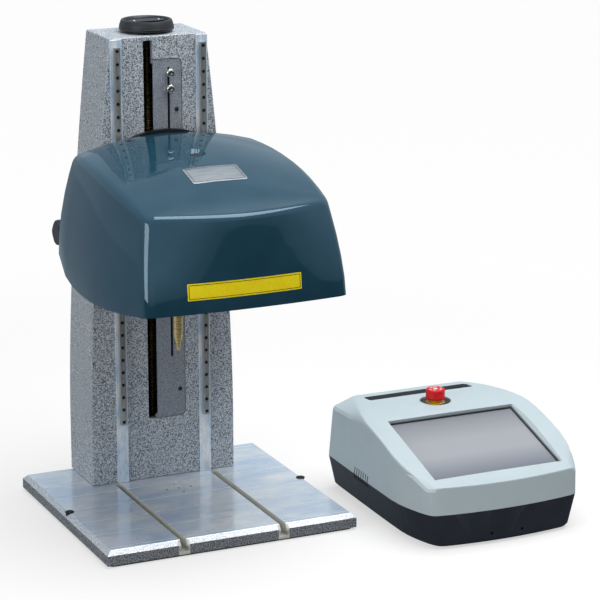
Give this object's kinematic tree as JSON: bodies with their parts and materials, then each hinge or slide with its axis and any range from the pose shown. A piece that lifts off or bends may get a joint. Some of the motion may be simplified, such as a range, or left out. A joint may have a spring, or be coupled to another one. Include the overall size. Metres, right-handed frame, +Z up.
{
  "type": "nameplate marking machine",
  "caption": "Bench marking machine for nameplates: T-slotted base, tapered column, handwheel-raised head with a cross-sliding stylus under a moulded cover, and a touch-screen console.",
  "frame": {"origin": "middle of the base plate's footprint, on the table that the rubber mat and console feet stand on", "axes": "+X to the machine's right, where the console stands; +Y to the back, where the column stands; +Z up"},
  "size_m": [0.726, 0.5275, 0.7431],
  "materials": {
    "black_anodised": "black anodised",
    "black_plastic": "satin black",
    "black_rubber": "matte",
    "brass": "turned, bright",
    "bright_nickel": "polished",
    "bronze": "plain bronze",
    "cover_gloss_blue_green": "gloss dark petrol blue",
    "dark_steel": "dark",
    "hammertone_grey": "hammered paint, satin",
    "machined_aluminium": "milled, bright",
    "rail_steel": "ground",
    "screen_glass": "anti-glare touch panel",
    "shell_blue_grey": "fine texture, pale blue grey",
    "stop_red": "red",
    "stop_yellow": "yellow",
    "tub_slate": "fine texture, slate",
    "zinc_plated": "zinc plated"
  },
  "bodies": {
    "machine_frame": {"base_mat": "black_rubber", "base_plate": "machined_aluminium", "edge_plug_left": "black_rubber", "edge_plug_right": "black_rubber", "column": "hammertone_grey", "opening_cover": "hammertone_grey", "rear_panel": "hammertone_grey", "rail_strip_left": "machined_aluminium", "rail_strip_right": "machined_aluminium", "rail_left": "rail_steel", "rail_right": "rail_steel", "upper_bearing": "zinc_plated", "lower_bearing": "zinc_plated", "console_tub": "tub_slate", "console_shell": "shell_blue_grey", "screen_panel": "screen_glass", "screen_frame": "tub_slate", "stop_ring": "stop_yellow", "stop_contact_block": "tub_slate", "console_foot_front_left": "black_rubber", "console_foot_front_right": "black_rubber", "console_foot_rear_left": "black_rubber", "console_foot_rear_right": "black_rubber", "power_entry": "black_plastic", "head_socket": "zinc_plated"},
    "limit_carrier": {"limit_block": "black_plastic", "limit_screw_upper": "bright_nickel", "limit_screw_lower": "bright_nickel"},
    "drive_screw": {"lead_screw": "dark_steel", "handwheel": "black_plastic", "handwheel_insert": "black_anodised"},
    "head": {"carriage_left_lower": "dark_steel", "carriage_left_upper": "dark_steel", "carriage_right_lower": "dark_steel", "carriage_right_upper": "dark_steel", "head_back_plate": "black_anodised", "nut_bracket": "machined_aluminium", "lead_nut": "bronze", "lock_block": "zinc_plated", "head_cover": "cover_gloss_blue_green", "cover_screw": "black_plastic", "head_frame": "machined_aluminium", "guide_rod_left": "rail_steel", "guide_rod_right": "rail_steel", "stage_motor_y": "black_anodised"},
    "head_lock": {"lock_knob": "black_plastic", "lock_stud": "zinc_plated"},
    "depth_screw": {"stage_screw_y": "dark_steel"},
    "bridge": {"stage_bridge": "machined_aluminium", "cross_rod_front": "rail_steel", "cross_rod_rear": "rail_steel", "stage_motor_x": "black_anodised"},
    "cross_screw": {"stage_screw_x": "dark_steel"},
    "saddle": {"stage_saddle": "machined_aluminium", "stylus_body": "brass"},
    "striker": {"stylus_pin": "rail_steel"},
    "rocker": {"power_rocker": "stop_red"},
    "stop_plunger": {"stop_stem": "black_plastic"},
    "stop_mushroom": {"stop_head": "stop_red"}
  },
  "joints": [
    {"name": "head_lift", "type": "slide", "parent": "machine_frame", "child": "head", "axis": [0, 0, 1], "range_m": [-0.235, 0.14]},
    {"name": "drive_turn", "type": "hinge", "parent": "machine_frame", "child": "drive_screw", "pos_m": [0, 0.137, 0.7241], "axis": [0, 0, 1], "range_deg": [-10100, 17000]},
    {"name": "limit_shift", "type": "slide", "parent": "machine_frame", "child": "limit_carrier", "axis": [0, 0, 1], "range_m": [-0.42, 0.005]},
    {"name": "lock_turn", "type": "hinge", "parent": "head", "child": "head_lock", "pos_m": [-0.173, 0.0816, 0.4375], "axis": [1, 0, 0], "range_deg": [0, 180]},
    {"name": "stage_depth", "type": "slide", "parent": "head", "child": "bridge", "axis": [0, 1, 0], "range_m": [-0.05, 0.03]},
    {"name": "depth_screw_turn", "type": "hinge", "parent": "head", "child": "depth_screw", "pos_m": [0, -0.038, 0.505], "axis": [0, 1, 0], "range_deg": [-9100, 5500]},
    {"name": "stage_cross", "type": "slide", "parent": "bridge", "child": "saddle", "axis": [1, 0, 0], "range_m": [-0.015, 0.099]},
    {"name": "cross_screw_turn", "type": "hinge", "parent": "bridge", "child": "cross_screw", "pos_m": [0, -0.038, 0.482], "axis": [1, 0, 0], "range_deg": [-2800, 17920]},
    {"name": "stylus_strike", "type": "slide", "parent": "saddle", "child": "striker", "axis": [0, 0, -1], "range_m": [0, 0.005], "stiffness_N_per_m": 400, "springref_m": -0.002},
    {"name": "power_rock", "type": "hinge", "parent": "machine_frame", "child": "rocker", "pos_m": [0.3265, 0.0053, 0.03], "axis": [1, 0, 0], "range_deg": [-18, 0]},
    {"name": "stop_press", "type": "slide", "parent": "machine_frame", "child": "stop_plunger", "axis": [0, 0, -1], "range_m": [0, 0.004]},
    {"name": "stop_release_twist", "type": "hinge", "parent": "stop_plunger", "child": "stop_mushroom", "pos_m": [0.382, -0.096, 0.159], "axis": [0, 0, -1], "range_deg": [0, 45], "stiffness_Nm_per_rad": 0.02, "springref_deg": -8.59}
  ],
  "couplings": [
    {"joint": "drive_turn", "follows": "head_lift", "rad_per_m": -1256.6},
    {"joint": "depth_screw_turn", "follows": "stage_depth", "rad_per_m": 3141.6},
    {"joint": "cross_screw_turn", "follows": "stage_cross", "rad_per_m": 3141.6}
  ]
}
